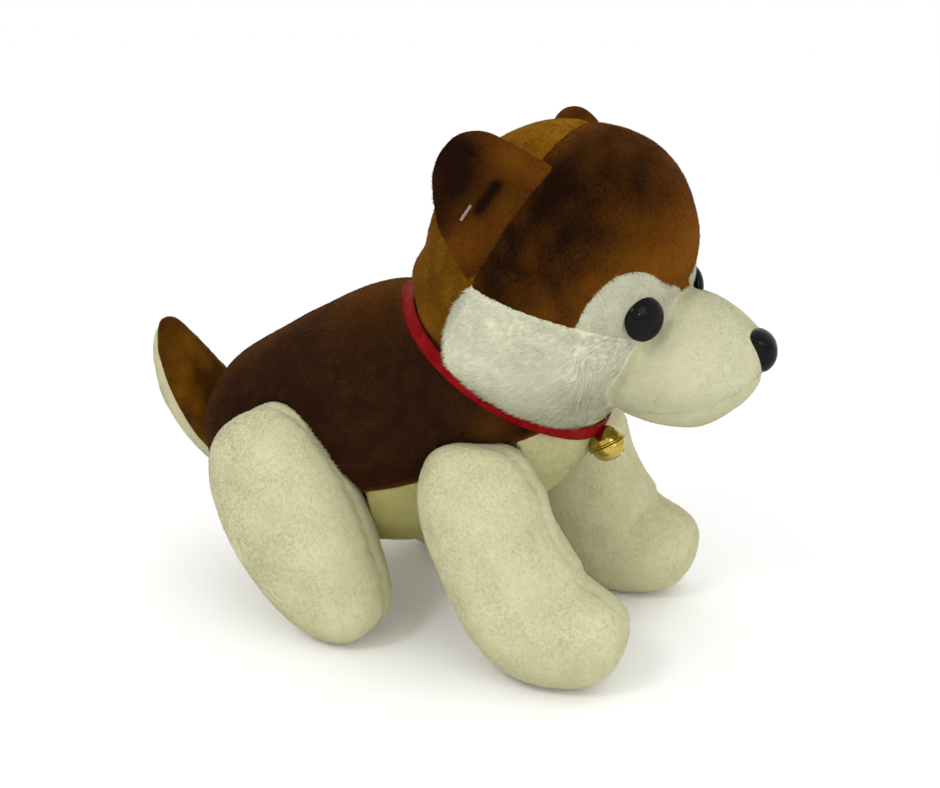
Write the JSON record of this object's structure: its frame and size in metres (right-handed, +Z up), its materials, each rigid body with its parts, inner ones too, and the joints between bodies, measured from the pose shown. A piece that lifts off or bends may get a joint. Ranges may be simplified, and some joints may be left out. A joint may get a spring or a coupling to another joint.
{
  "type": "plush dog",
  "caption": "Plush dog on four stuffed legs, brown back and head, cream legs and muzzle, plastic eyes and nose, ribbon collar with a jingle bell; head, ears, legs and tail flex.",
  "frame": {"origin": "on the floor, midway along and across the dog", "axes": "+X forward, the way the nose points, +Y to the dog's left, +Z up"},
  "size_m": [0.2874, 0.152, 0.2117],
  "materials": {
    "dark_brown_pile": "short velvety pile, dark brown",
    "crown_brown_pile": "short velvety pile, brown with golden sheen where the nap is brushed",
    "golden_brown_pile": "short velvety pile, golden brown",
    "cream_pile": "short velvety pile, cream",
    "white_pile": "longer soft pile, off-white",
    "stuffing": "loose polyester fibre",
    "black_plastic": "high gloss",
    "washer_plastic": "natural matt",
    "red_satin": "satin sheen",
    "gold_bell": "bright gold plating",
    "pellet_steel": "plain",
    "clear_plastic": "clear, glossy"
  },
  "bodies": {
    "torso": {"back_panel": "dark_brown_pile", "belly_panel": "cream_pile", "torso_stuffing": "stuffing", "collar_ribbon": "red_satin"},
    "neck": {"neck_stuffing": "stuffing"},
    "head": {"crown_panel": "crown_brown_pile", "head_back_panel": "golden_brown_pile", "cheek_right": "white_pile", "cheek_left": "white_pile", "eye_patch_right": "white_pile", "eye_patch_left": "white_pile", "muzzle_panel": "cream_pile", "chin_panel": "cream_pile", "eye_right": "black_plastic", "eye_left": "black_plastic", "eye_washer_right": "washer_plastic", "eye_washer_left": "washer_plastic", "nose": "black_plastic", "nose_washer": "washer_plastic", "head_stuffing": "stuffing"},
    "ear_right": {"ear_front_panel_right": "crown_brown_pile", "ear_rear_panel_right": "dark_brown_pile", "tag_fastener": "clear_plastic"},
    "ear_left": {"ear_front_panel_left": "crown_brown_pile", "ear_rear_panel_left": "dark_brown_pile"},
    "front_leg_right": {"front_leg_outer_panel_right": "cream_pile", "front_leg_inner_panel_right": "cream_pile", "front_leg_stuffing_right": "stuffing"},
    "front_leg_left": {"front_leg_outer_panel_left": "cream_pile", "front_leg_inner_panel_left": "cream_pile", "front_leg_stuffing_left": "stuffing"},
    "hind_leg_right": {"hind_leg_outer_panel_right": "cream_pile", "hind_leg_inner_panel_right": "cream_pile", "hind_leg_stuffing_right": "stuffing"},
    "hind_leg_left": {"hind_leg_outer_panel_left": "cream_pile", "hind_leg_inner_panel_left": "cream_pile", "hind_leg_stuffing_left": "stuffing"},
    "tail": {"tail_front_panel": "golden_brown_pile", "tail_rear_panel": "cream_pile", "tail_stuffing": "stuffing"},
    "bell": {"bell_upper_cup": "gold_bell", "bell_lower_cup": "gold_bell"},
    "pellet": {"bell_pellet": "pellet_steel"}
  },
  "joints": [
    {"name": "head_turn", "type": "hinge", "parent": "torso", "child": "neck", "pos_m": [0.0564, 0, 0.1524], "axis": [0.5408, 0, 0.8412], "range_deg": [-15, 15], "stiffness_Nm_per_rad": 0.6},
    {"name": "head_nod", "type": "hinge", "parent": "neck", "child": "head", "pos_m": [0.0564, 0, 0.1524], "axis": [0, 1, 0], "range_deg": [-8, 4], "stiffness_Nm_per_rad": 0.8},
    {"name": "ear_fold_right", "type": "hinge", "parent": "head", "child": "ear_right", "pos_m": [0.0394, -0.05, 0.1574], "axis": [0.4853, 0.2954, 0.8229], "range_deg": [-8, 30], "stiffness_Nm_per_rad": 0.03},
    {"name": "ear_fold_left", "type": "hinge", "parent": "head", "child": "ear_left", "pos_m": [0.0394, 0.05, 0.1574], "axis": [-0.4853, 0.2954, -0.8229], "range_deg": [-8, 30], "stiffness_Nm_per_rad": 0.03},
    {"name": "front_leg_swing_right", "type": "hinge", "parent": "torso", "child": "front_leg_right", "pos_m": [0.0424, -0.05, 0.0814], "axis": [0, 1, 0], "range_deg": [-10, 10], "stiffness_Nm_per_rad": 1.2},
    {"name": "front_leg_swing_left", "type": "hinge", "parent": "torso", "child": "front_leg_left", "pos_m": [0.0424, 0.05, 0.0814], "axis": [0, 1, 0], "range_deg": [-10, 10], "stiffness_Nm_per_rad": 1.2},
    {"name": "hind_leg_swing_right", "type": "hinge", "parent": "torso", "child": "hind_leg_right", "pos_m": [-0.0536, -0.05, 0.0754], "axis": [0, 1, 0], "range_deg": [-10, 10], "stiffness_Nm_per_rad": 1.2},
    {"name": "hind_leg_swing_left", "type": "hinge", "parent": "torso", "child": "hind_leg_left", "pos_m": [-0.0536, 0.05, 0.0754], "axis": [0, 1, 0], "range_deg": [-10, 10], "stiffness_Nm_per_rad": 1.2},
    {"name": "tail_wag", "type": "hinge", "parent": "torso", "child": "tail", "pos_m": [-0.0956, 0, 0.0594], "axis": [0, 0, 1], "range_deg": [-20, 20], "stiffness_Nm_per_rad": 0.1},
    {"name": "bell_swing", "type": "hinge", "parent": "torso", "child": "bell", "pos_m": [0.0728, 0, 0.092], "axis": [0, -1, 0], "range_deg": [-2, 20]},
    {"name": "pellet_roll", "type": "slide", "parent": "bell", "child": "pellet", "axis": [-0.4983, 0, 0.867], "range_m": [0, 0.0025]}
  ]
}
